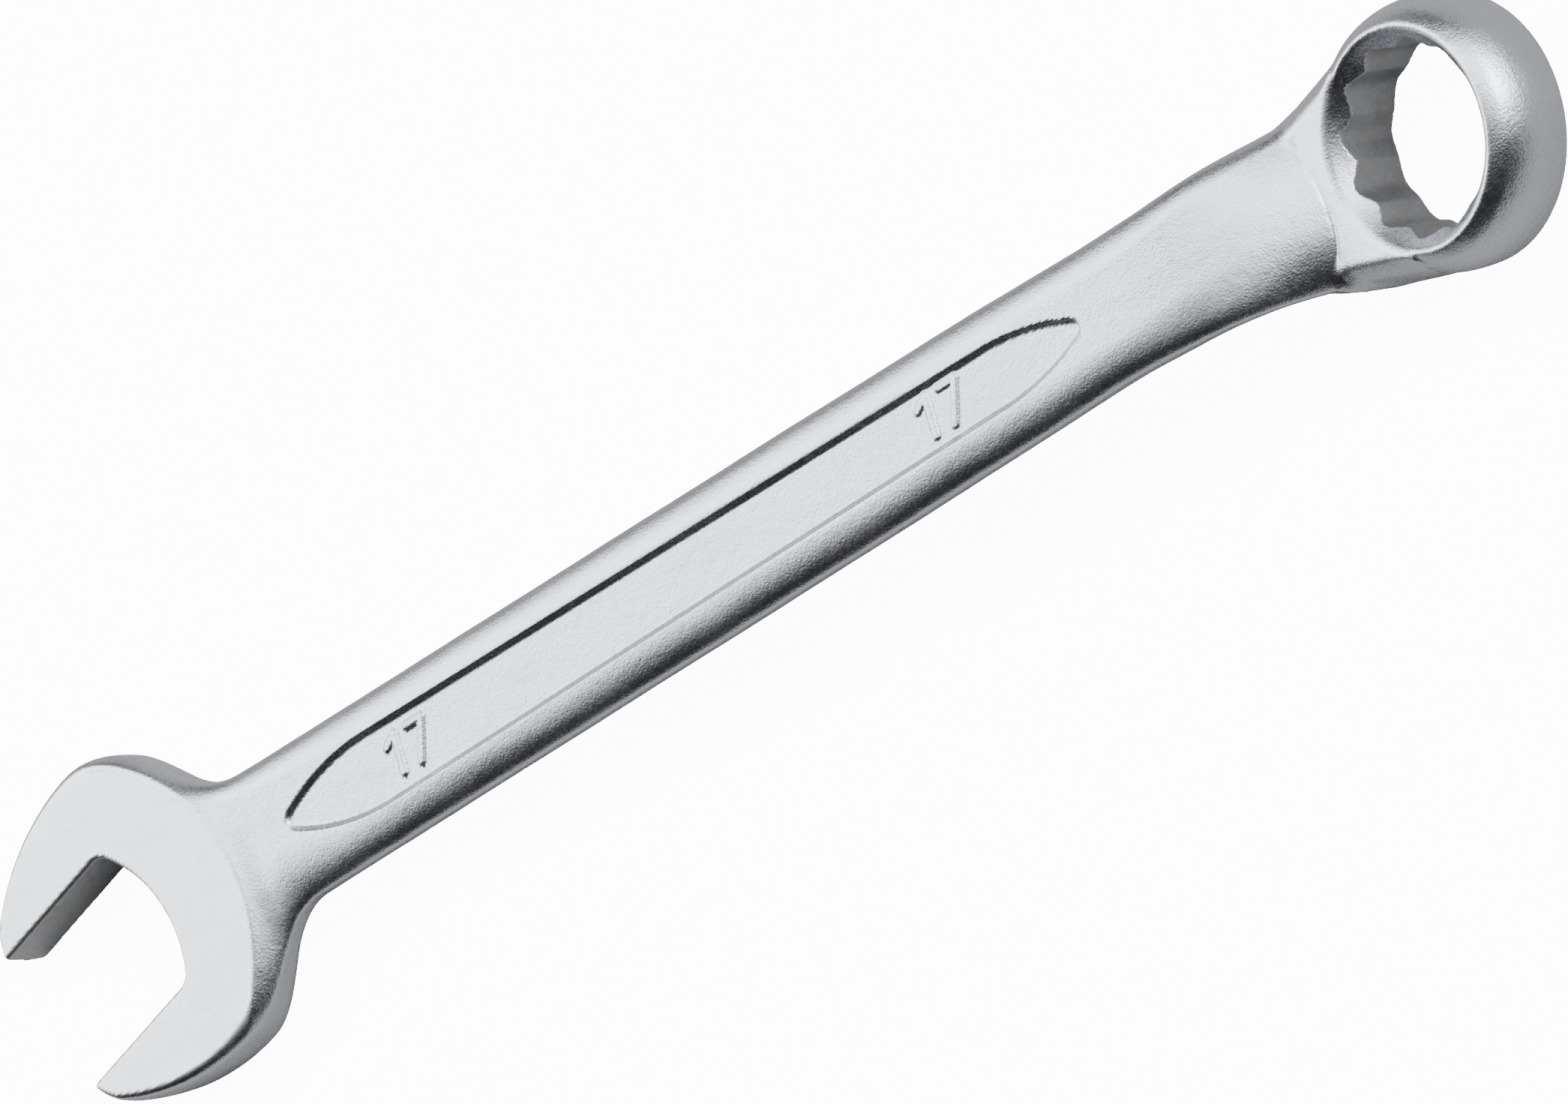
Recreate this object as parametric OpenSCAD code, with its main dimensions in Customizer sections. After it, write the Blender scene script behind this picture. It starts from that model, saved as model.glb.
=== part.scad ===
// Combination wrench, forged in one piece: an open jaw turned from the handle at one end and
// a cranked twelve-point ring at the other.
// The origin is the middle of the jaw gap, on the handle's centre line, halfway through the head.
// +X runs along the handle to the ring, and +Z is up, out of the side that carries the size.

/* [Jaw] */
// Distance across the flats of the nut that both ends fit
across_flats = 17; // [16:0.1:18]
// Angle between the jaw and the handle
jaw_angle = 15; // [5:1:20]
// Width of the head over both prongs
head_width = 35.6; // [35:0.1:36]
// Thickness of the head
head_thickness = 6.6; // [5.6:0.1:8]
// Distance from the middle of the gap to the prong tips
prong_reach = 19.3; // [18:0.1:20]
// Distance from the middle of the gap to the bottom of the throat
throat_reach = 0.7; // [0.2:0.1:1.2]

/* [Handle] */
// Width of the handle beside the jaw
handle_width = 15.5; // [15:0.1:16]
// Thickness of the handle
handle_thickness = 4.6; // [4.4:0.1:5]
// Radius of the handle's rounded long edges
handle_edge_r = 1.8; // [1:0.1:2]
// Depth of the sunk panel in each side of the handle
panel_depth = 0.5; // [0.2:0.1:1]
// Width of the sunk panel at its end beside the jaw
panel_width = 7.4; // [6:0.1:8]

/* [Ring] */
// Distance from the middle of the jaw gap to the middle of the ring's upper face
ring_reach = 166.4; // [165:0.1:168]
// Height of the middle of the ring's upper face, below the handle's mid-plane
ring_drop = 2.5; // [2:0.1:3]
// Tilt of the ring's axis from square to the handle
ring_tilt = 15; // [13:1:17]
// Largest radius of the ring's barrel
ring_r = 13.4; // [13:0.1:13.6]
// Thickness of the ring along its own axis
ring_thickness = 9.1; // [8.8:0.1:9.5]
// Clearance of the socket over the nut, across the flats
socket_clearance = 0.15; // [0.1:0.01:0.3]

/* [Hidden] */
$fn = 96;
past = 1;

// The prong's outer side is one long arc, rounded into the tip, and the head's back is a tighter one
prong_side_r = 27.5;
prong_corner_r = 2.5;
back_r = 9.6;
widest_f = -0.5;
side_centre = [widest_f, head_width / 2 - prong_side_r];
corner_f = prong_corner_r - prong_reach;
corner_rise = sqrt(pow(prong_side_r - prong_corner_r, 2) - pow(corner_f - widest_f, 2));
corner_centre = [corner_f, side_centre[1] + corner_rise];
corner_turn = atan2(corner_rise, corner_f - widest_f);
back_centre = [widest_f, head_width / 2 - back_r];

// The gap's flats end in a small fillet, and a shallow arc closes the throat
throat_fillet_r = 0.8;
throat_fillet_f = -2.6;
throat_fillet_turn = 20;
gap_half = across_flats / 2;
throat_side = gap_half - throat_fillet_r * (1 - sin(throat_fillet_turn));
throat_sag = throat_reach - throat_fillet_f - throat_fillet_r * cos(throat_fillet_turn);
throat_r = (pow(throat_side, 2) + pow(throat_sag, 2)) / (2 * throat_sag);
throat_half_turn = asin(throat_side / throat_r);

// The head's thick part ends in an arc on the handle's side, with a small fillet down to it
thick_centre = [-9, -2];
thick_r = 20.3;
step_fillet_r = 1.2;
step_outer_r = 45;
root_fillet_r = [7.5, 9];

// Panel: long arcs draw each end to a small blunt tip
panel_start = 19;
panel_end = 128.2;
panel_end_width = 6.2;
panel_tip_half = 0.6;
panel_arc_r = 27;

// Neck stations: distance along the handle, upper height, lower height, half width
neck = [
    [117, 2.3, -2.3, 7.4],
    [131, 2.1, -2.6, 7.2],
    [140, 1, -3.8, 7.5],
    [146, -1.1, -6.5, 8.1],
    [150, -3.5, -10.2, 8.6],
    [153.5, -6.1, -12.7, 8.9],
    [157, -6.5, -13.4, 9.1]
];
slice = 0.02;

// Ring, in its own frame: the upper face is at zero and depths are negative
rim_inner_r = 10.6;
rim_outer_r = 11.1;
barrel_depth = 5.5;
barrel_top_r = 8.5;
barrel_top_turn = 38;
barrel_low_r = 18;
barrel_low_turn = 11;
ring_core_r = 8;
lower_edge_r = 12.5;
collar_fall = 0.1;
collar_depth = 5;
socket_flats = across_flats + socket_clearance;
socket_corner_r = 9.65;
socket_inner_r = socket_flats / 2 / cos(15);
exit_depth = 1.2;
exit_slope = 1.7;

function arc(centre, r, from, to, steps = 12) =
    [for (i = [0:steps]) let (a = from + (to - from) * i / steps) centre + r * [cos(a), sin(a)]];

function mirrored(points) = [for (i = [len(points) - 1:-1:0]) [points[i][0], -points[i][1]]];

function jaw_to_handle(p) =
    [p[0] * cos(jaw_angle) - p[1] * sin(jaw_angle), p[0] * sin(jaw_angle) + p[1] * cos(jaw_angle)];

// Outline of the head in the jaw's own axes, before the gap is cut
module head_outline() {
    half = concat(
        arc(corner_centre, prong_corner_r, 180, corner_turn, 6),
        arc(side_centre, prong_side_r, corner_turn, 90, 16),
        arc(back_centre, back_r, 85, 0, 16)
    );
    rotate(jaw_angle) polygon(concat(half, mirrored(half)));
}

// Web that blends one side of the handle into the head's back; side is 1 or -1
module root_web(side, fillet_r) {
    back = jaw_to_handle([back_centre[0], side * back_centre[1]]);
    centre_y = handle_width / 2 + fillet_r;
    rise = centre_y - side * back[1];
    run = sqrt(pow(back_r + fillet_r, 2) - pow(rise, 2));
    centre = [back[0] + run, centre_y];
    touch = atan2(-rise, -run);
    fillet = arc(centre, fillet_r, touch + 360, 270, 12);
    web = concat(fillet, [[centre[0], 0], [0, 0], [back[0], side * back[1]]]);
    scale([1, side, 1]) polygon(web);
}

// Gap that takes the nut, in the jaw's own axes
module jaw_gap_outline() {
    half = concat(
        [[-prong_reach - 5, gap_half]],
        arc([throat_fillet_f, gap_half - throat_fillet_r], throat_fillet_r, 90, throat_fillet_turn, 5),
        arc([throat_reach - throat_r, 0], throat_r, throat_half_turn, 0, 10)
    );
    rotate(jaw_angle) polygon(concat(half, mirrored(half)));
}

// Takes the head down to the handle's thickness outside the thick part
module head_step() {
    depth = (head_thickness - handle_thickness) / 2;
    translate([thick_centre[0], thick_centre[1], 0])
        rotate_extrude()
            translate([thick_r, handle_thickness / 2])
                difference() {
                    square([step_outer_r - thick_r, depth + past]);
                    intersection() {
                        square([step_fillet_r, depth]);
                        difference() {
                            square(step_fillet_r);
                            translate([step_fillet_r, step_fillet_r]) circle(step_fillet_r);
                        }
                    }
                }
}

module head() {
    difference() {
        linear_extrude(head_thickness, center = true) head_outline();
        head_step();
        mirror([0, 0, 1]) head_step();
    }
    linear_extrude(handle_thickness, center = true) {
        root_web(1, root_fillet_r[1]);
        root_web(-1, root_fillet_r[0]);
    }
}

// Thin cross-section of the handle with round corners
module section(at) {
    for (y = [-1, 1], z = [at[1] - handle_edge_r, at[2] + handle_edge_r])
        translate([at[0], y * (at[3] - handle_edge_r), z])
            rotate([0, 90, 0]) cylinder(slice, r = handle_edge_r, center = true, $fn = 32);
}

module handle() {
    half = handle_thickness / 2;
    stations = concat([[4, half, -half, handle_width / 2]], neck);
    for (i = [0:len(stations) - 2])
        hull() {
            section(stations[i]);
            section(stations[i + 1]);
        }
}

// Outline of the sunk panel along the handle
module panel_outline() {
    wide = panel_width / 2;
    narrow = panel_end_width / 2;
    wide_turn = acos(1 - (wide - panel_tip_half) / panel_arc_r);
    narrow_turn = acos(1 - (narrow - panel_tip_half) / panel_arc_r);
    wide_x = panel_start + panel_arc_r * sin(wide_turn);
    narrow_x = panel_end - panel_arc_r * sin(narrow_turn);
    half = concat(
        arc([wide_x, wide - panel_arc_r], panel_arc_r, 90 + wide_turn, 90, 8),
        arc([narrow_x, narrow - panel_arc_r], panel_arc_r, 90, 90 - narrow_turn, 8)
    );
    polygon(concat(half, mirrored(half)));
}

module panels() {
    for (side = [0, 1])
        mirror([0, 0, side])
            translate([0, 0, handle_thickness / 2 - panel_depth])
                linear_extrude(panel_depth + past) panel_outline();
}

module in_ring_frame() {
    translate([ring_reach, 0, -ring_drop]) rotate([0, -ring_tilt, 0]) children();
}

module ring_barrel() {
    barrel = concat(
        [[ring_core_r, 0], [rim_inner_r, 0], [rim_outer_r, 0]],
        arc([ring_r - barrel_top_r, -barrel_depth], barrel_top_r, barrel_top_turn, 0, 8),
        arc([ring_r - barrel_low_r, -barrel_depth], barrel_low_r, -2, -barrel_low_turn, 5),
        [[lower_edge_r, -ring_thickness], [ring_core_r, -ring_thickness]]
    );
    rotate_extrude() polygon(barrel);
}

// Flat that carries the ring's upper face on to the neck
module collar() {
    crease_r = 15;
    crease_turn = 27;
    crease = arc([-12.75 - crease_r, 0], crease_r, -crease_turn, crease_turn, 10);
    side = [[-11.5, 8], [-8.5, 9], [-5.5, 10.1], [-3, 11.2]];
    translate([0, 0, -collar_depth])
        linear_extrude(collar_depth - collar_fall)
            polygon(concat(crease, side, mirrored(side)));
}

// Twelve-point hole with a cone at each face
module ring_socket() {
    translate([0, 0, -ring_thickness - past])
        intersection() {
            for (turn = [0, 30])
                rotate(turn) cylinder(ring_thickness + 2 * past, d = socket_flats / cos(30), $fn = 6);
            cylinder(ring_thickness + 2 * past, r = socket_corner_r);
        }
    cone_depth = rim_inner_r - socket_inner_r;
    translate([0, 0, -cone_depth])
        cylinder(cone_depth + past, r1 = socket_inner_r, r2 = rim_inner_r + past);
    exit_r = socket_inner_r + exit_slope * (exit_depth + past);
    translate([0, 0, -ring_thickness - past])
        cylinder(exit_depth + past, r1 = exit_r, r2 = socket_inner_r);
}

module wrench_body() {
    color([0.82, 0.83, 0.84])
        difference() {
            union() {
                head();
                handle();
                in_ring_frame() {
                    ring_barrel();
                    collar();
                }
            }
            linear_extrude(head_thickness + 2 * past, center = true) jaw_gap_outline();
            panels();
            in_ring_frame() ring_socket();
        }
}

wrench_body();
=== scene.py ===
import math

import bpy
import numpy as np
from mathutils import Matrix, Vector


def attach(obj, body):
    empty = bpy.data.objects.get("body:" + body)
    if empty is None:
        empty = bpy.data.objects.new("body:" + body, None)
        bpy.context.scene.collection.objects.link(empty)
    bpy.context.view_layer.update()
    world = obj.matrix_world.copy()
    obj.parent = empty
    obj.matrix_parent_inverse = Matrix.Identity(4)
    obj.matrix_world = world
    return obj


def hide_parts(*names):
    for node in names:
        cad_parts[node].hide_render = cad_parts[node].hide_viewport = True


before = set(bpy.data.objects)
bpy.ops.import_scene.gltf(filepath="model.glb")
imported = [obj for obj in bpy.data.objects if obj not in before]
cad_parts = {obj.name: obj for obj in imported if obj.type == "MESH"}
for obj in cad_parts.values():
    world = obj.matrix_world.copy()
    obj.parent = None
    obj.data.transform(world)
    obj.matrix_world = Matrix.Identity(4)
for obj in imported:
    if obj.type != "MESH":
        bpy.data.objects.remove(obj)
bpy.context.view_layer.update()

# Lengths are in millimetres until a mesh is made, in the same frame as the CAD: x runs along the handle from
# the jaw to the ring, z is up, and the right side is the one with negative y.
MM = 0.001

# ---------------------------------------------------------------- sizes of the head
ACROSS_FLATS = 17.0
JAW_ANGLE = math.radians(15)
HEAD_HALF_WIDTH = 17.8
HEAD_HALF_THICKNESS = 3.3
PRONG_REACH = 19.3
PRONG_SIDE_R = 27.5
PRONG_CORNER_R = 2.5
BACK_R = 9.6
# Where the head is widest, along the jaw's axis
WIDEST = -0.5
THROAT_REACH = 0.7
THROAT_R = 13.9
THROAT_CORNER_R = 0.8
# Rounding of the gap's edges on the lower and on the upper face
JAW_EDGE_R = (0.25, 0.5)
# The head's thick part is round in plan. STEP_REACH is how far its faces take to step down to the handle's,
# and STEP_SOFTENING rounds off the start of that step
THICK_CENTRE = (-9.0, -2.0)
THICK_R = 20.3
STEP_REACH = 2.8
STEP_SOFTENING = 0.012
ROOT_FILLET_R = 7.0
# The head's sides draw in by this much towards its faces. From where that fades out, and over what length
SIDE_FULLNESS = 0.35
SIDE_FULLNESS_FADE = (-14.0, 34.0)

# ---------------------------------------------------------------- sizes of the handle and the neck
HANDLE_HALF_THICKNESS = 2.28
HANDLE_START = 2.0
HANDLE_END = 158.0
# Stations along the handle: distance, half width
HALF_WIDTHS = [(0, 7.85), (22, 7.75), (90, 7.5), (117, 7.3), (131, 7.0), (140, 7.35), (146, 7.95), (150, 8.5),
               (154, 9.0), (160, 9.4)]
# The neck was bent a little to one side in forging: how much, where it starts and is full
NECK_SHIFT = (0.5, 136.0, 148.0)
# Stations along the handle: distance, height of the upper face, height of the lower face
FACES = [(0, 2.28, -2.35), (117, 2.28, -2.35), (128, 2.2, -2.5), (136, 1.75, -3.1), (141, 0.9, -3.9),
         (146, -1.1, -6.4), (150, -3.3, -10.0), (153, -5.1, -12.4), (157, -7.4, -13.4), (162, -8.0, -13.2)]
# Curves through stations: their range, the spacing of their samples, and the spread and the reach of the
# smoothing, both counted in samples
CURVE_RANGE = (-30.0, 200.0)
CURVE_SPACING = 0.1
CURVE_SPREAD = 18.0
CURVE_REACH = 60
# The crank's contour lines bend with the crease: middle of the bend, its radius, where it starts and is full
CRANK_BEND = (0.6, 11.0, 140.0, 151.0)
# Rounding of the long edges: distance along the handle, reach across the face on the right and on the left,
# reach down the side
EDGES = [(-19, 0.4, 0.4, 0.7), (-8, 0.7, 0.7, 0.9), (2, 1.1, 1.1, 1.2), (7, 1.6, 1.6, 1.4),
         (12, 4.9, 2.3, 1.6), (17, 6.2, 3.0, 1.8), (25, 4.3, 3.7, 1.9), (132, 4.0, 3.7, 1.9),
         (142, 5.4, 3.0, 1.9), (150, 6.4, 2.2, 1.8), (154, 6.4, 2.0, 1.8)]
# The lower face has the left side's reach on both sides. Lengths over which one reach turns into the other:
# half the width on the upper face, and the height half-way down the side
EDGE_TURN_HALF_WIDTH = 1.0
EDGE_TURN_HEIGHT = 0.8

# ---------------------------------------------------------------- sizes of the ring
RING_CENTRE = (166.4, -0.2, -2.5)
RING_TILT = math.radians(15)
RING_THICKNESS = 9.1
RING_R = 13.45
# The barrel's profile: how far under the upper face it is widest, and its radii above and below that
BARREL_DEPTH = 5.5
BARREL_TOP_R = 8.5
BARREL_LOW_R = 18.0
FACE_R = 11.58
LOWER_EDGE_R = 0.6
# Bevel between the upper face and the barrel: how far inside the corner it starts on the ring and on the
# collar, where that changes and over what length, its tilt, and the rounding of its upper and lower edges
BEVEL_IN = (0.12, 0.5)
BEVEL_CHANGE = (-1.0, 6.0)
BEVEL_TILT = math.radians(27)
BEVEL_EDGE_R = (0.3, 0.9)
# The cones that lead into the hole from above and from below, and the rounding of the upper one's rim
RIM_R = 10.65
RIM_EDGE_R = 0.5
CONE_SLOPE = 1.1
LOWER_RIM_R = 10.9
LOWER_CONE_SLOPE = 0.6
SOCKET_FLATS = 17.1
SOCKET_POCKET_R = 1.7
SOCKET_POINT_R = 0.12
SOCKET_TURN = math.radians(3.3)
SOCKET_EDGE_R = 0.12

# The flat that carries the ring's face to the neck. Its half width is given at COLLAR_START, and grows by
# COLLAR_SPREAD a millimetre towards the ring. One of its ends is hidden in the neck, the other in the ring
COLLAR_START = -15.0
COLLAR_HALF_WIDTH = 7.87
COLLAR_SPREAD = 0.25
COLLAR_HIDDEN_END = -16.5
COLLAR_RING_END = -5.5
COLLAR_FILLET_R = 0.8
# Length over which the collar's middle line moves over from the ring's to the neck's
COLLAR_SHIFT_RUN = 9.0
# The ring and its collar are cut off at the neck's lower face: the rounding and the steepness there
NECK_FLOOR_EDGE_R = 1.5
NECK_FLOOR_STEEPNESS = 1.4
# That cut drops away from the heel: how far, where it starts and over what length
NECK_FLOOR_DROP = (4.0, 153.0, 5.0)
# Where the ring's lower face turns up towards the neck, and how steeply
HEEL_START = -10.3
HEEL_SLOPE = 0.68
# Fillet at the crease between neck and collar, in its middle and at its ends, and where that changes and
# over what length
CREASE_FILLET_R = (0.1, 1.0)
CREASE_FILLET_CHANGE = (5.0, 3.0)
# A shallow groove along the crease: its depth and half width, the height at which it fades in and over what
# length, and where it stops
CREASE_DENT = 0.08
CREASE_DENT_REACH = 0.2
CREASE_DENT_FADE = (-1.2, 0.8)
CREASE_DENT_END = -10.0

# Cut faces of the gap are looked for only before the first of these places, and the ring only beyond the
# second one
JAW_REGION_END = 10.0
RING_REGION_START = 135.0

# ---------------------------------------------------------------- sizes of the panels and the numbers
PANEL_START = 19.0
PANEL_END = 128.2
# Half widths at the jaw's end and at the ring's end, radius of the arcs that draw the ends in, half width of
# the tips, and rounding of the tips' corners
PANEL_HALF = (3.75, 3.1)
PANEL_ARC_R = 27.0
PANEL_TIP = 0.6
PANEL_CORNER_R = 0.5
# Depth of the panel, width of its sloping walls, and the depth from which a face counts as sunk
PANEL_DEPTH = 0.46
PANEL_SLOPE = 0.8
LEAST_SINK = 0.001

# Height of the digits over the panel's floor, and width of their sloping sides
DIGIT_RAISE = 0.22
DIGIT_SLOPE = 0.35
# Strokes of the two digits, in axes with the number's middle near zero: start, end, half width
DIGIT_STROKES = [
    ((-2.4, 0.9), (-0.9, 1.9), 0.4),
    ((-0.9, 1.9), (-1.5, -2.2), 0.42),
    ((0.8, 1.9), (3.0, 1.9), 0.42),
    ((3.0, 1.9), (1.0, -2.2), 0.42),
]
DIGIT_PLACES = [(36.1, 0.3), (109.8, 0.45)]
FAR_FROM_DIGITS = 9.0

# ---------------------------------------------------------------- what the tools left on the surface
# Height of each of the two slow waves in the forging's surface
UNDULATION = 0.006
# The head's faces were ground: the share of the grain that this took off, how far under the face it begins,
# and over what length it becomes full
GROUND_SHARE = 0.85
GROUND_DEPTH = 0.35
GROUND_FADE = 0.3
# How near to a cut face the surface counts as cut, in the gap and in the twelve points, and over what length
# that sets in below the cone
GAP_CUT_REACH = 0.3
SOCKET_CUT_REACH = 0.1
CONE_CUT_FADE = 0.15


# ---------------------------------------------------------------- distance functions
def round_max(a, b, r):
    """Common part of two solids, with a convex edge of radius r."""
    return np.minimum(-r, np.maximum(a, b)) + np.hypot(np.maximum(a + r, 0), np.maximum(b + r, 0))


def round_min(a, b, r):
    """Union of two solids, with a concave fillet of radius r."""
    return np.maximum(r, np.minimum(a, b)) - np.hypot(np.maximum(r - a, 0), np.maximum(r - b, 0))


def oval_max(a, b, ra, rb):
    """Common part of two solids, with an edge rounded over ra along one face and rb down the other."""
    u = np.maximum(a / ra + 1, 0)
    v = np.maximum(b / rb + 1, 0)
    oval = (np.hypot(u, v) - 1) * np.minimum(ra, rb)
    return np.where((u > 0) & (v > 0), oval, np.maximum(a, b))


def step(t):
    """Smooth step from 0 to 1 as t goes from 0 to 1."""
    t = np.clip(t, 0, 1)
    return t * t * (3 - 2 * t)


def smooth_curve(stations, column):
    """Returns a function of the distance along the handle that follows the stations smoothly."""
    at = np.arange(CURVE_RANGE[0], CURVE_RANGE[1], CURVE_SPACING)
    rough = np.interp(at, [s[0] for s in stations], [s[column] for s in stations])
    offsets = np.arange(-CURVE_REACH, CURVE_REACH + 1)
    kernel = np.exp(-0.5 * (offsets / CURVE_SPREAD) ** 2)
    padded = np.pad(rough, CURVE_REACH, mode="edge")
    smooth = np.convolve(padded, kernel / kernel.sum(), mode="valid")
    return lambda x: np.interp(x, at, smooth)


half_width_at = smooth_curve(HALF_WIDTHS, 1)
upper_at = smooth_curve(FACES, 1)
lower_at = smooth_curve(FACES, 2)


def jaw_axes(x, y):
    """Distance along the jaw's axis, from the prongs to the back, and distance to either side of it."""
    along = x * math.cos(JAW_ANGLE) + y * math.sin(JAW_ANGLE)
    aside = np.abs(y * math.cos(JAW_ANGLE) - x * math.sin(JAW_ANGLE))
    return along, aside


def thick_edge_plan(x, y):
    """Distance to the outline of the head's thick part."""
    return np.hypot(x - THICK_CENTRE[0], y - THICK_CENTRE[1]) - THICK_R


def head_plan(x, y):
    """Distance to the head's outline in plan, before the gap is cut."""
    along, aside = jaw_axes(x, y)
    side = np.hypot(along - WIDEST, aside - (HEAD_HALF_WIDTH - PRONG_SIDE_R)) - PRONG_SIDE_R
    behind, beside = np.maximum(along - WIDEST, 0), np.maximum(aside - (HEAD_HALF_WIDTH - BACK_R), 0)
    back = np.hypot(behind, beside) - BACK_R
    return round_max(np.maximum(side, back), -PRONG_REACH - along, PRONG_CORNER_R)


def gap_plan(x, y):
    """Distance to the outline of the gap that takes the nut."""
    along, aside = jaw_axes(x, y)
    throat = np.hypot(np.maximum(along - (THROAT_REACH - THROAT_R), 0), aside) - THROAT_R
    return round_max(aside - ACROSS_FLATS / 2, throat, THROAT_CORNER_R)


# Where the panel's straight sides begin and end, worked out from the arcs that draw in its ends
PANEL_WIDE_X = PANEL_START + math.sqrt(PANEL_ARC_R ** 2 - (PANEL_ARC_R - PANEL_HALF[0] + PANEL_TIP) ** 2)
PANEL_NARROW_X = PANEL_END - math.sqrt(PANEL_ARC_R ** 2 - (PANEL_ARC_R - PANEL_HALF[1] + PANEL_TIP) ** 2)


def panel_half_at(x):
    """Half width of the sunk panel, before its ends are drawn in."""
    return np.interp(x, (PANEL_WIDE_X, PANEL_NARROW_X), PANEL_HALF)


def panel_plan(x, y):
    """Distance to the outline of the sunk panel."""
    past = np.maximum(PANEL_WIDE_X - x, 0) + np.maximum(x - PANEL_NARROW_X, 0)
    side = np.hypot(past, np.abs(y) - panel_half_at(x) + PANEL_ARC_R) - PANEL_ARC_R
    ends = np.maximum(PANEL_START - x, x - PANEL_END)
    return round_max(side, ends, PANEL_CORNER_R)


def stroke(u, v, start, end, half):
    """Distance to a straight stroke with round ends."""
    du, dv = end[0] - start[0], end[1] - start[1]
    t = np.clip(((u - start[0]) * du + (v - start[1]) * dv) / (du * du + dv * dv), 0, 1)
    return np.hypot(u - start[0] - t * du, v - start[1] - t * dv) - half


def digits_plan(x, y):
    """Distance to the strokes of both numbers."""
    nearest = np.full(np.broadcast(x, y).shape, FAR_FROM_DIGITS)
    for px, py in DIGIT_PLACES:
        for start, end, half in DIGIT_STROKES:
            nearest = np.minimum(nearest, stroke(x - px, y - py, start, end, half))
    return nearest


def ring_axes(x, y, z):
    """Place in the ring's own frame, measured from the middle of its upper face: away from the handle, to the
    left, and up along the ring's axis."""
    dx, dz = x - RING_CENTRE[0], z - RING_CENTRE[2]
    u = dx * math.cos(RING_TILT) + dz * math.sin(RING_TILT)
    w = dz * math.cos(RING_TILT) - dx * math.sin(RING_TILT)
    return u, y - RING_CENTRE[1], w


def hexagon(u, v, half_flats, corner_r, turn):
    """Distance to a hexagon with rounded corners."""
    r = half_flats - corner_r
    a = np.abs(u * math.cos(turn) + v * math.sin(turn))
    b = np.abs(v * math.cos(turn) - u * math.sin(turn))
    # Cosine and sine of 30 degrees give the line that the plane is folded along, and the tangent half a side
    kx, ky, kz = -0.8660254, 0.5, 0.5773503
    fold = 2 * np.minimum(kx * a + ky * b, 0)
    a, b = a - fold * kx, b - fold * ky
    a = a - np.clip(a, -kz * r, kz * r)
    b = b - r
    return np.hypot(a, b) * np.sign(b) - corner_r


def twelve_points(u, v):
    """Distance to the outline of the twelve-point socket."""
    half = SOCKET_FLATS / 2
    first = hexagon(u, v, half, SOCKET_POCKET_R, SOCKET_TURN)
    second = hexagon(u, v, half, SOCKET_POCKET_R, SOCKET_TURN + math.radians(30))
    return round_min(first, second, SOCKET_POINT_R)


def upper_cone(u, v, w):
    """Distance to the cone that leads into the hole from the ring's upper face."""
    return (CONE_SLOPE * (np.hypot(u, v) - RIM_R) - w) / math.hypot(1, CONE_SLOPE)


def lower_cone(u, v, w):
    """Distance to the cone that leads into the hole from the ring's lower face."""
    outward = LOWER_CONE_SLOPE * (np.hypot(u, v) - LOWER_RIM_R)
    return (outward + w + RING_THICKNESS) / math.hypot(1, LOWER_CONE_SLOPE)


def socket(u, v, w):
    """Distance to the twelve-point hole with its cones."""
    return np.minimum(np.minimum(twelve_points(u, v), upper_cone(u, v, w)), lower_cone(u, v, w))


def ring(u, v, w):
    """Distance to the ring's barrel and the collar that grows out of it, before the hole is cut."""
    middle = NECK_SHIFT[0] * step((COLLAR_RING_END - u) / COLLAR_SHIFT_RUN)
    strip = np.abs(v - middle) - COLLAR_HALF_WIDTH - COLLAR_SPREAD * (u - COLLAR_START)
    ends = np.maximum(u - COLLAR_RING_END, COLLAR_HIDDEN_END - u)
    strip = np.maximum(strip / math.hypot(1, COLLAR_SPREAD), ends)
    reach = round_min(np.hypot(u, v) - FACE_R, strip, COLLAR_FILLET_R) + FACE_R
    top = np.hypot(np.maximum(reach - (RING_R - BARREL_TOP_R), 0), w + BARREL_DEPTH) - BARREL_TOP_R
    low = np.hypot(np.maximum(reach - (RING_R - BARREL_LOW_R), 0), w + BARREL_DEPTH) - BARREL_LOW_R
    barrel = np.where(w > -BARREL_DEPTH, top, low)
    heel = (-RING_THICKNESS - w - HEEL_SLOPE * (u - HEEL_START)) / math.hypot(1, HEEL_SLOPE)
    towards_neck = step((BEVEL_CHANGE[0] - u) / BEVEL_CHANGE[1])
    inset = BEVEL_IN[0] + (BEVEL_IN[1] - BEVEL_IN[0]) * towards_neck
    bevel = (reach - FACE_R + inset) * math.sin(BEVEL_TILT) + w * math.cos(BEVEL_TILT)
    barrel = round_max(round_max(barrel, bevel, BEVEL_EDGE_R[1]), w, BEVEL_EDGE_R[0])
    barrel = round_max(barrel, heel, LOWER_EDGE_R)
    return round_max(barrel, -RING_THICKNESS - w, LOWER_EDGE_R)


def undulation(x, y, z):
    """Slow unevenness of the forging, well under the thickness of a hair."""
    a = np.sin(0.61 * x + 0.9 * y + 1.3 * z + 0.5) * np.sin(0.83 * y - 0.37 * x + 1.1)
    b = np.sin(0.29 * x - 0.71 * y + 0.53 * z + 2.1)
    return UNDULATION * a + UNDULATION * b


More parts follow.
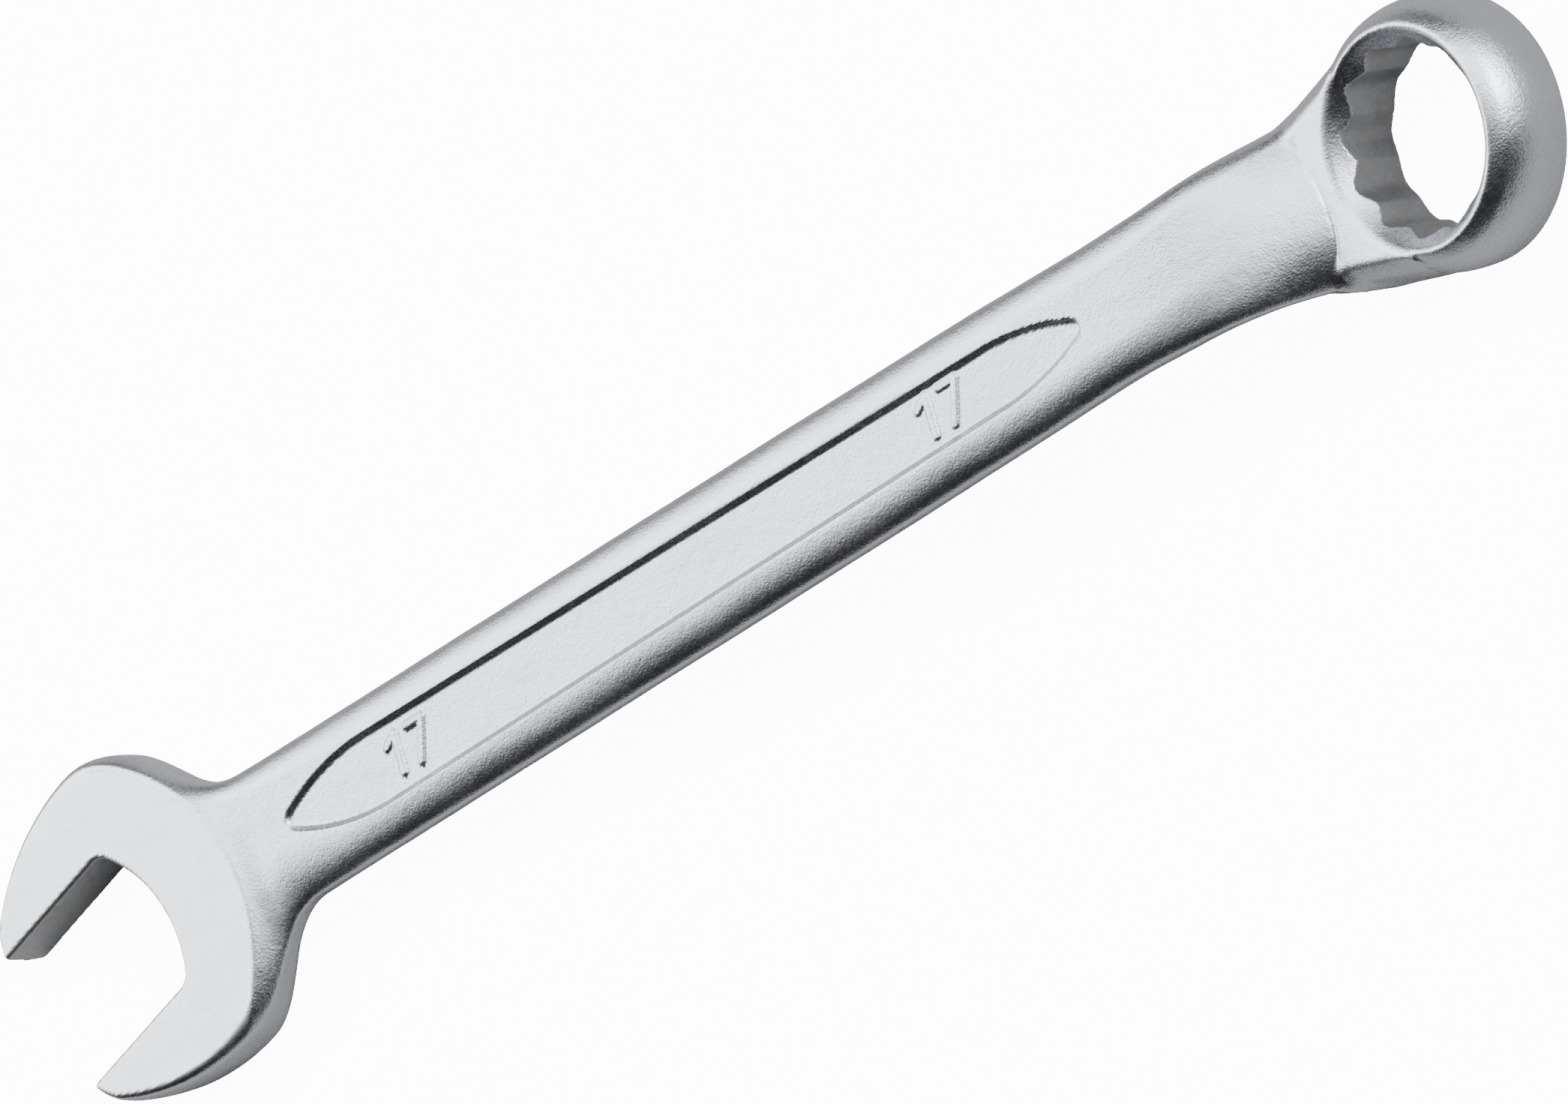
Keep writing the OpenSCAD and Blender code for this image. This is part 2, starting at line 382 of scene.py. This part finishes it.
def wrench(x, y, z):
    """Signed distance to the wrench's surface, near enough to be walked on to it."""
    thick_edge = thick_edge_plan(x, y)
    shift, start, full = NECK_SHIFT
    across = y - shift * step((x - start) / (full - start))
    handle_side = np.maximum(np.abs(across) - half_width_at(x), HANDLE_START - x)
    outline = round_min(head_plan(x, y), handle_side, ROOT_FILLET_R)

    # Upper and lower faces, with the head's thick part and the crank to the ring
    past = (thick_edge + np.sqrt(thick_edge * thick_edge + STEP_SOFTENING)) / 2
    rise = (HEAD_HALF_THICKNESS - HANDLE_HALF_THICKNESS) * np.clip(1 - past / STEP_REACH, 0, 1) ** 2
    middle, bend_r, start, full = CRANK_BEND
    bent = x + step((x - start) / (full - start)) * (y - middle) ** 2 / (2 * bend_r)
    upper, lower = upper_at(bent) + rise, lower_at(x) - rise
    slope = upper_at(x + 0.5) - upper_at(x - 0.5)
    depth = (np.abs(z - (upper + lower) / 2) - (upper - lower) / 2) / np.sqrt(1 + slope * slope)

    # The long edges are tight on the head and broad along the handle
    places = [edge[0] for edge in EDGES]
    right_r = np.interp(x, places, [edge[1] for edge in EDGES])
    left_r = np.interp(x, places, [edge[2] for edge in EDGES])
    under = step(0.5 - (z - (upper + lower) / 2) / EDGE_TURN_HEIGHT)
    leftward = step((y + EDGE_TURN_HALF_WIDTH) / (2 * EDGE_TURN_HALF_WIDTH))
    across_r = right_r + (left_r - right_r) * np.maximum(leftward, under)
    deep_r = np.interp(x, places, [edge[3] for edge in EDGES])
    faded = step((x - SIDE_FULLNESS_FADE[0]) / SIDE_FULLNESS_FADE[1])
    fullness = SIDE_FULLNESS * (1 - faded) * (z / HEAD_HALF_THICKNESS) ** 2
    body = oval_max(outline + fullness, depth, across_r, deep_r)
    body = np.maximum(body, x - HANDLE_END)

    # Panels and the size numbers, then the gap
    sink = PANEL_DEPTH * step(0.5 - panel_plan(x, y) / PANEL_SLOPE)
    sink = sink - DIGIT_RAISE * step(0.5 - digits_plan(x, y) / DIGIT_SLOPE) * (z > 0)
    sunk = np.abs(z) - HANDLE_HALF_THICKNESS + sink
    body = np.where(sink > LEAST_SINK, np.maximum(body, sunk), body)
    body = round_max(body, -gap_plan(x, y), np.where(z > 0, JAW_EDGE_R[1], JAW_EDGE_R[0]))

    # The ring with its collar, and the twelve-point hole
    u, v, w = ring_axes(x, y, z)
    sideward = step((np.abs(v) - CREASE_FILLET_CHANGE[0]) / CREASE_FILLET_CHANGE[1])
    crease_r = CREASE_FILLET_R[0] + (CREASE_FILLET_R[1] - CREASE_FILLET_R[0]) * sideward
    drop, start, run = NECK_FLOOR_DROP
    neck_floor = (lower_at(x) - z - drop * step((x - start) / run)) / NECK_FLOOR_STEEPNESS
    barrel = round_max(ring(u, v, w), neck_floor, NECK_FLOOR_EDGE_R)
    whole = round_min(body, barrel, crease_r)
    fade_in = step((w - CREASE_DENT_FADE[0]) / CREASE_DENT_FADE[1])
    dent = np.exp(-((body - barrel) / CREASE_DENT_REACH) ** 2) * fade_in
    whole = whole + CREASE_DENT * dent * (u < CREASE_DENT_END)
    whole = round_max(whole, -upper_cone(u, v, w), RIM_EDGE_R)
    whole = round_max(whole, -socket(u, v, w), SOCKET_EDGE_R)
    return np.where(x > RING_REGION_START, whole, body) + undulation(x, y, z)


def grain_share(x, y, z):
    """How much of the blasted grain shows: little on the ground faces of the head."""
    on_face = step((np.abs(z) - HEAD_HALF_THICKNESS + GROUND_DEPTH) / GROUND_FADE)
    return 1 - GROUND_SHARE * step(-thick_edge_plan(x, y)) * on_face


def close_to(distance, reach):
    """One up to half the reach from a face, then fading out at one and a half times the reach."""
    return step(1.5 - np.abs(distance) / reach)


def machined_share(x, y, z):
    """One on the faces that were cut after the forging: the jaw's gap and the twelve-point hole. It also
    places the painted shade of those hollows.
    """
    gap = close_to(gap_plan(x, y), GAP_CUT_REACH) * (x < JAW_REGION_END)
    u, v, w = ring_axes(x, y, z)
    hole = close_to(twelve_points(u, v), SOCKET_CUT_REACH) * step(upper_cone(u, v, w) / CONE_CUT_FADE)
    return np.maximum(gap, hole * (x > RING_REGION_START))


# ---------------------------------------------------------------- mesh from the distance
# Planes of the grid that are worked out at a time
SLAB = 40
# Bounds on a walk to the surface: the least squared slope, the longest move, and the least length that is
# divided by
LEAST_SQUARED_SLOPE = 0.05
LONGEST_MOVE = 0.3
SHORTEST_MOVE = 1e-9


def lines(*runs):
    """Grid lines: each run is a start and a step, and the last one is only an end."""
    stops = [run[0] for run in runs]
    pieces = []
    for (start, spacing), end in zip(runs[:-1], stops[1:]):
        count = max(1, round((end - start) / spacing))
        pieces.append(np.linspace(start, end, count, endpoint=False))
    return np.concatenate(pieces + [[stops[-1]]])


def surface_net(field, xs, ys, zs):
    """Quads round the zero level of the field on a grid with uneven spacing."""
    values = np.empty((len(xs), len(ys), len(zs)), np.float32)
    for i in range(0, len(xs), SLAB):
        part = slice(i, i + SLAB)
        values[part] = field(xs[part, None, None], ys[None, :, None], zs[None, None, :])
    inside = values < 0
    filled = sum(
        inside[a:len(xs) - 1 + a, b:len(ys) - 1 + b, c:len(zs) - 1 + c].astype(np.int8)
        for a in (0, 1) for b in (0, 1) for c in (0, 1)
    )
    cells = np.argwhere((filled > 0) & (filled < 8))
    number = np.full(filled.shape, -1, np.int32)
    number[tuple(cells.T)] = np.arange(len(cells))

    # Each vertex starts at the mean of the crossings on its cell's twelve edges
    total = np.zeros((len(cells), 3))
    count = np.zeros(len(cells))
    spans = (xs, ys, zs)
    for axis in range(3):
        others = [k for k in range(3) if k != axis]
        for a in (0, 1):
            for b in (0, 1):
                low = cells.copy()
                low[:, others[0]] += a
                low[:, others[1]] += b
                high = low.copy()
                high[:, axis] += 1
                v0, v1 = values[tuple(low.T)], values[tuple(high.T)]
                hit = (v0 < 0) != (v1 < 0)
                t = np.where(hit, v0 / np.where(hit, v0 - v1, 1), 0)
                for k in range(3):
                    p0, p1 = spans[k][low[:, k]], spans[k][high[:, k]]
                    total[:, k] += np.where(hit, p0 + t * (p1 - p0), 0)
                count += hit
    points = total / count[:, None]

    quads = []
    for axis in range(3):
        b, c = [(1, 2), (2, 0), (0, 1)][axis]
        first = np.take(inside, np.arange(inside.shape[axis] - 1), axis)
        second = np.take(inside, np.arange(1, inside.shape[axis]), axis)
        edges = np.argwhere(first != second)
        edges = edges[(edges[:, b] > 0) & (edges[:, c] > 0)]
        edges = edges[(edges[:, b] < filled.shape[b]) & (edges[:, c] < filled.shape[c])]
        corners = []
        for db, dc in ((1, 1), (0, 1), (0, 0), (1, 0)):
            cell = edges.copy()
            cell[:, b] -= db
            cell[:, c] -= dc
            corners.append(number[tuple(cell.T)])
        quad = np.stack(corners, 1)
        outward = first[tuple(edges.T)]
        quad[~outward] = quad[~outward][:, ::-1]
        quads.append(quad)
    return points, np.concatenate(quads)


def gradient(field, points, reach=0.02):
    """Slope of the field at each point, by central differences."""
    slopes = []
    for axis in range(3):
        shift = np.zeros(3)
        shift[axis] = reach
        ahead, behind = points + shift, points - shift
        slopes.append((field(*ahead.T) - field(*behind.T)) / (2 * reach))
    return np.stack(slopes, 1)


def settle(field, points, quads, rounds=3, ease=0.5):
    """Evens the vertices out along the surface and walks them exactly on to it."""
    for turn in range(rounds):
        if turn < rounds - 1:
            total, count = np.zeros_like(points), np.zeros(len(points))
            for k in range(4):
                for j in (1, 3):
                    np.add.at(total, quads[:, k], points[quads[:, (k + j) % 4]])
                    np.add.at(count, quads[:, k], 1)
            points = points + ease * (total / count[:, None] - points)
        for _ in range(3):
            slope = gradient(field, points)
            size = np.maximum((slope * slope).sum(1), LEAST_SQUARED_SLOPE)
            move = (field(*points.T) / size)[:, None] * slope
            length = np.linalg.norm(move, axis=1)[:, None]
            points = points - move * np.minimum(1, LONGEST_MOVE / np.maximum(length, SHORTEST_MOVE))
    return points


# Grid lines, finer at the numbers and at the walls of the panels
GRID_X = lines((-22.0, 0.36), (14.0, 0.5), (18.0, 0.24), (35.0, 0.19), (40.0, 1.0), (106.5, 0.19),
               (113.5, 0.5), (124.0, 0.45), (150.0, 0.32), (182.0, 0))
GRID_Y = lines((-18.6, 0.36), (-3.85, 0.11), (-3.1, 0.24), (3.1, 0.11), (3.85, 0.36), (18.6, 0))
GRID_Z = lines((-15.8, 0.33), (4.1, 0))
# Half width of the panel that the fine lines of the grid are made for
GRID_PANEL_HALF = 3.45
# Where the grid stops following the panel, and over what length before that it lets go: across and along
FOLLOW_ACROSS = (7.5, 3.5)
FOLLOW_ALONG = (124.0, 20.0)


def follow_panel(x, y):
    """Moves the grid's own y so that its fine lines run along the tapering walls of the panel."""
    across = step((FOLLOW_ACROSS[0] - np.abs(y)) / FOLLOW_ACROSS[1])
    share = across * step((FOLLOW_ALONG[0] - x) / FOLLOW_ALONG[1])
    return y * (1 + share * (panel_half_at(x) / GRID_PANEL_HALF - 1))


def wrench_mesh():
    """The wrench's whole surface as one closed mesh with exact normals."""
    points, quads = surface_net(lambda x, y, z: wrench(x, follow_panel(x, y), z), GRID_X, GRID_Y, GRID_Z)
    points[:, 1] = follow_panel(points[:, 0], points[:, 1])
    points = settle(wrench, points, quads)
    slope = gradient(wrench, points)
    normals = slope / np.linalg.norm(slope, axis=1)[:, None]
    mesh = bpy.data.meshes.new("forged_wrench")
    mesh.from_pydata((points * MM).tolist(), [], quads.tolist())
    mesh.polygons.foreach_set("use_smooth", [True] * len(mesh.polygons))
    mesh.normals_split_custom_set_from_vertices(normals.tolist())
    shares = mesh.attributes.new("grain", "FLOAT", "POINT")
    shares.data.foreach_set("value", grain_share(*points.T).astype(np.float32))
    cuts = mesh.attributes.new("machined", "FLOAT", "POINT")
    cuts.data.foreach_set("value", machined_share(*points.T).astype(np.float32))
    return mesh


# ---------------------------------------------------------------- materials
# Sizes of the marks in the skin, in millimetres, and the height of the whole relief
GRAIN_SIZE = 0.24
ORANGE_PEEL_SIZE = 1.1
SCORE_SIZE = 0.35
CLOUD_SIZE = 9.0
SPECK_SIZE = 0.5
STAIN_SIZE = 2.2
RELIEF = 0.05
# Heights of the orange peel and of the scores, against the grain's
ORANGE_PEEL_HEIGHT = 0.6
SCORE_HEIGHT = 0.8
# Heights are multiplied by this before the scores' noise is read, which draws it out up and down
SCORE_DRAW = 0.06
# Roughness of the plating from cloud to cloud, what specks add to it, and what a cut face adds
PLATED_ROUGHNESS = (0.23, 0.28)
SPECK_ROUGHNESS = (-0.02, 0.03)
CUT_ROUGHNESS = 0.1
# Colours of the plating, and of the bare steel of the cut faces with its stains. That steel colour is partly
# painted shade: it is made darker to stand for the shade in the jaw's gap and inside the hole
PLATED_COLOURS = ((0.78, 0.81, 0.86, 1), (0.82, 0.85, 0.895, 1))
BARE_STEEL_AND_SHADE_COLOURS = ((0.58, 0.595, 0.61, 1), (0.56, 0.53, 0.49, 1))


def node(tree, kind, inputs=None, **settings):
    """Adds a node. An input given as a socket is linked, and any other value is set."""
    made = tree.nodes.new(kind)
    for name, value in settings.items():
        setattr(made, name, value)
    for name, value in (inputs or {}).items():
        socket_in = made.inputs[name]
        if isinstance(value, bpy.types.NodeSocket):
            tree.links.new(value, socket_in)
        else:
            socket_in.default_value = value
    return made


def noise(tree, where, size, detail=2.0, roughness=0.5):
    """Noise with features of about the given size in millimetres."""
    inputs = {"Vector": where, "Scale": 1 / (size * MM), "Detail": detail, "Roughness": roughness}
    return node(tree, "ShaderNodeTexNoise", inputs).outputs["Fac"]


def spread(tree, value, low, high, to_low, to_high):
    """Maps a value smoothly from one range to another."""
    inputs = {"Value": value, "From Min": low, "From Max": high, "To Min": to_low, "To Max": to_high}
    return node(tree, "ShaderNodeMapRange", inputs, interpolation_type="SMOOTHSTEP").outputs["Result"]


def combine(tree, operation, first, second):
    """One arithmetic step on two values."""
    made = node(tree, "ShaderNodeMath", {0: first, 1: second}, operation=operation)
    return made.outputs[0]


def mix_colours(tree, share, first, second):
    """Passes from the first colour to the second as the share goes from 0 to 1."""
    inputs = {"Factor": share, "A": first, "B": second}
    return node(tree, "ShaderNodeMix", inputs, data_type="RGBA").outputs["Result"]


def satin_chrome():
    """Satin chrome over a shot-blasted forging, and the plainer steel of the faces cut afterwards, whose
    darker colour also paints the shade in the jaw's gap and inside the hole.
    """
    material = bpy.data.materials.new("satin_chrome")
    material.use_nodes = True
    tree = material.node_tree
    shader = tree.nodes["Principled BSDF"]
    where = node(tree, "ShaderNodeTexCoord").outputs["Object"]
    share = node(tree, "ShaderNodeAttribute", attribute_name="grain").outputs["Fac"]
    machined = node(tree, "ShaderNodeAttribute", attribute_name="machined").outputs["Fac"]

    # Blasted grain, with broader orange peel under it
    grain = noise(tree, where, GRAIN_SIZE, 3.0, 0.6)
    orange_peel = noise(tree, where, ORANGE_PEEL_SIZE, 1.0)
    height = combine(tree, "ADD", grain, combine(tree, "MULTIPLY", orange_peel, ORANGE_PEEL_HEIGHT))
    height = combine(tree, "MULTIPLY", height, share)

    # The broach and the milling cutter leave fine lines that run straight up and down
    mapping = {"Vector": where, "Rotation": (0, RING_TILT, 0), "Scale": (1, 1, SCORE_DRAW)}
    drawn = node(tree, "ShaderNodeMapping", mapping)
    scores = noise(tree, drawn.outputs["Vector"], SCORE_SIZE, 3.0, 0.6)
    cut = combine(tree, "MULTIPLY", combine(tree, "MULTIPLY", scores, machined), SCORE_HEIGHT)
    height = combine(tree, "ADD", height, cut)
    bump = node(tree, "ShaderNodeBump", {"Height": height, "Strength": 1.0, "Distance": RELIEF * MM})

    cloud = noise(tree, where, CLOUD_SIZE, 3.0)
    speck = noise(tree, where, SPECK_SIZE, 2.0)
    clouded = spread(tree, cloud, 0.3, 0.7, *PLATED_ROUGHNESS)
    rough = combine(tree, "ADD", clouded, spread(tree, speck, 0.3, 0.7, *SPECK_ROUGHNESS))
    rough = combine(tree, "ADD", rough, combine(tree, "MULTIPLY", machined, CUT_ROUGHNESS))
    plated = mix_colours(tree, cloud, *PLATED_COLOURS)
    stain = spread(tree, noise(tree, where, STAIN_SIZE, 3.0), 0.5, 0.75, 0.0, 1.0)
    bare_steel_and_shade = mix_colours(tree, stain, *BARE_STEEL_AND_SHADE_COLOURS)
    # The cut faces take the darker steel colour: partly bare steel, and partly painted shade in the jaw's gap
    # and inside the hole
    tint = mix_colours(tree, machined, plated, bare_steel_and_shade)
    tree.links.new(tint, shader.inputs["Base Color"])
    tree.links.new(rough, shader.inputs["Roughness"])
    tree.links.new(bump.outputs["Normal"], shader.inputs["Normal"])
    shader.inputs["Metallic"].default_value = 1.0
    return material


# ---------------------------------------------------------------- stage
# Side of the square floor, in metres
FLOOR_SIDE = 4.0
# The wrench rests on the ring's heel and the head, so the floor leans a little against the handle
FLOOR_LEAN = math.radians(3.45)
FLOOR_PLACE = (158.0, 0.0, -14.15)
# What reflections see of the floor, and what the camera sees: a pale sheet that also glows
FLOOR_GREY = (0.31, 0.31, 0.315, 1)
FLOOR_PALE = (0.95, 0.95, 0.95, 1)
FLOOR_GLOW = 12.0
WHITE = (1, 1, 1, 1)


def floor():
    """A pale sheet under the wrench. Reflections see it greyer than the camera does."""
    half = FLOOR_SIDE / 2
    mesh = bpy.data.meshes.new("floor")
    corners = [(-half, -half, 0), (half, -half, 0), (half, half, 0), (-half, half, 0)]
    mesh.from_pydata(corners, [], [(0, 1, 2, 3)])
    sheet = bpy.data.objects.new("floor", mesh)
    bpy.context.collection.objects.link(sheet)
    sheet.location = Vector(FLOOR_PLACE) * MM
    sheet.rotation_euler = (0, FLOOR_LEAN, 0)
    material = bpy.data.materials.new("pale_floor")
    material.use_nodes = True
    tree = material.node_tree
    tree.nodes.remove(tree.nodes["Principled BSDF"])
    seen = node(tree, "ShaderNodeLightPath").outputs["Is Camera Ray"]
    grey = node(tree, "ShaderNodeBsdfDiffuse", {"Color": FLOOR_GREY})
    pale = node(tree, "ShaderNodeBsdfDiffuse", {"Color": FLOOR_PALE})
    glow = node(tree, "ShaderNodeEmission", {"Color": WHITE, "Strength": FLOOR_GLOW})
    bright = node(tree, "ShaderNodeAddShader", {0: pale.outputs[0], 1: glow.outputs[0]})
    mixed = node(tree, "ShaderNodeMixShader", {0: seen, 1: grey.outputs[0], 2: bright.outputs[0]})
    tree.links.new(mixed.outputs[0], tree.nodes["Material Output"].inputs["Surface"])
    mesh.materials.append(material)


# Soft lights of the studio: strength, then each soft edge as a direction, the cosines where the light ends
# and where it is full, and how steeply it fades
SOFT_LIGHTS = [
    (3.4, [((-0.3, 1, 0), 0.12, 0.4, 2.0), ((0, -1, 0), -0.85, -0.45, 1.0), ((0, 0, 1), 0.1, 0.42, 1.3),
           ((-1, 0, 0), -0.6, 0.0, 1.0)]),
    (0.52, [((0.22, 1, 0), -0.615, -0.01, 1.5), ((0, -1, 0), -1.05, -0.6, 1.0),
            ((0, 0, 1), -0.1, 0.15, 1.0)]),
    (2.2, [((0.65, 0.6, 0.47), 0.5, 0.95, 1.3), ((0, -1, 0), -0.9, -0.5, 1.0),
           ((0, 0, 1), -0.1, 0.35, 1.0)]),
    (8.0, [((0.86, 0.15, 0.45), 0.93, 0.995, 1.0)]),
]
# Light of the dark parts of the room, and the brightness of the background that the camera sees
STUDIO_DARK = 0.02
BACKGROUND_GLOW = 13.0


def studio():
    """A dark room with broad soft lights, for the bright faces and the black edges of satin chrome."""
    world = bpy.data.worlds.new("studio")
    bpy.context.scene.world = world
    world.use_nodes = True
    tree = world.node_tree
    where = node(tree, "ShaderNodeTexCoord").outputs["Generated"]
    total = None
    for strength, edges in SOFT_LIGHTS:
        light = None
        for direction, ends, full, power in edges:
            aim = Vector(direction).normalized()
            facing = node(tree, "ShaderNodeVectorMath", {0: where, 1: aim}, operation="DOT_PRODUCT")
            edge = spread(tree, facing.outputs["Value"], ends, full, 0.0, 1.0)
            edge = combine(tree, "POWER", edge, power)
            light = edge if light is None else combine(tree, "MULTIPLY", light, edge)
        light = combine(tree, "MULTIPLY", light, strength)
        total = light if total is None else combine(tree, "ADD", total, light)
    total = combine(tree, "ADD", total, STUDIO_DARK)
    seen = node(tree, "ShaderNodeLightPath").outputs["Is Camera Ray"]
    shown = node(tree, "ShaderNodeMix", {"Factor": seen, "A": total, "B": BACKGROUND_GLOW}, data_type="FLOAT")
    background = tree.nodes["Background"]
    background.inputs["Color"].default_value = WHITE
    tree.links.new(shown.outputs["Result"], background.inputs["Strength"])


CAMERA_TARGET = (85.66, -2.96, 0.0)
CAMERA_AZIMUTH = math.radians(64.76)
CAMERA_HEIGHT = math.radians(55.11)
CAMERA_ROLL = math.radians(92.23)
CAMERA_DISTANCE = 1006.3
# Focal length and width of the sensor, in millimetres, and how far the camera sees, in metres
CAMERA_LENS = 233.56
SENSOR_WIDTH = 36.0
SIGHT = 20.0


def camera():
    """A long lens that looks down on the wrench, rolled so that the wrench runs up to the right."""
    data = bpy.data.cameras.new("camera")
    data.lens = CAMERA_LENS
    data.sensor_width = SENSOR_WIDTH
    data.sensor_fit = "HORIZONTAL"
    data.clip_end = SIGHT
    seer = bpy.data.objects.new("camera", data)
    bpy.context.collection.objects.link(seer)
    level = math.cos(CAMERA_HEIGHT)
    sideways, forwards = math.sin(CAMERA_AZIMUTH) * level, -math.cos(CAMERA_AZIMUTH) * level
    back = Vector((sideways, forwards, math.sin(CAMERA_HEIGHT)))
    right = Vector((0, 0, 1)).cross(back).normalized()
    upright = Matrix((right, back.cross(right), back)).transposed()
    turned = upright @ Matrix.Rotation(-CAMERA_ROLL, 3, "Z")
    place = (Vector(CAMERA_TARGET) + back * CAMERA_DISTANCE) * MM
    seer.matrix_world = Matrix.Translation(place) @ turned.to_4x4()
    bpy.context.scene.camera = seer


def build():
    """The whole wrench as one piece, since nothing on it moves or comes off."""
    mesh = wrench_mesh()
    mesh.materials.append(satin_chrome())
    piece = bpy.data.objects.new("forged_wrench", mesh)
    bpy.context.collection.objects.link(piece)
    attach(piece, "root")
    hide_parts("wrench_body")


camera()
build()
floor()
studio()
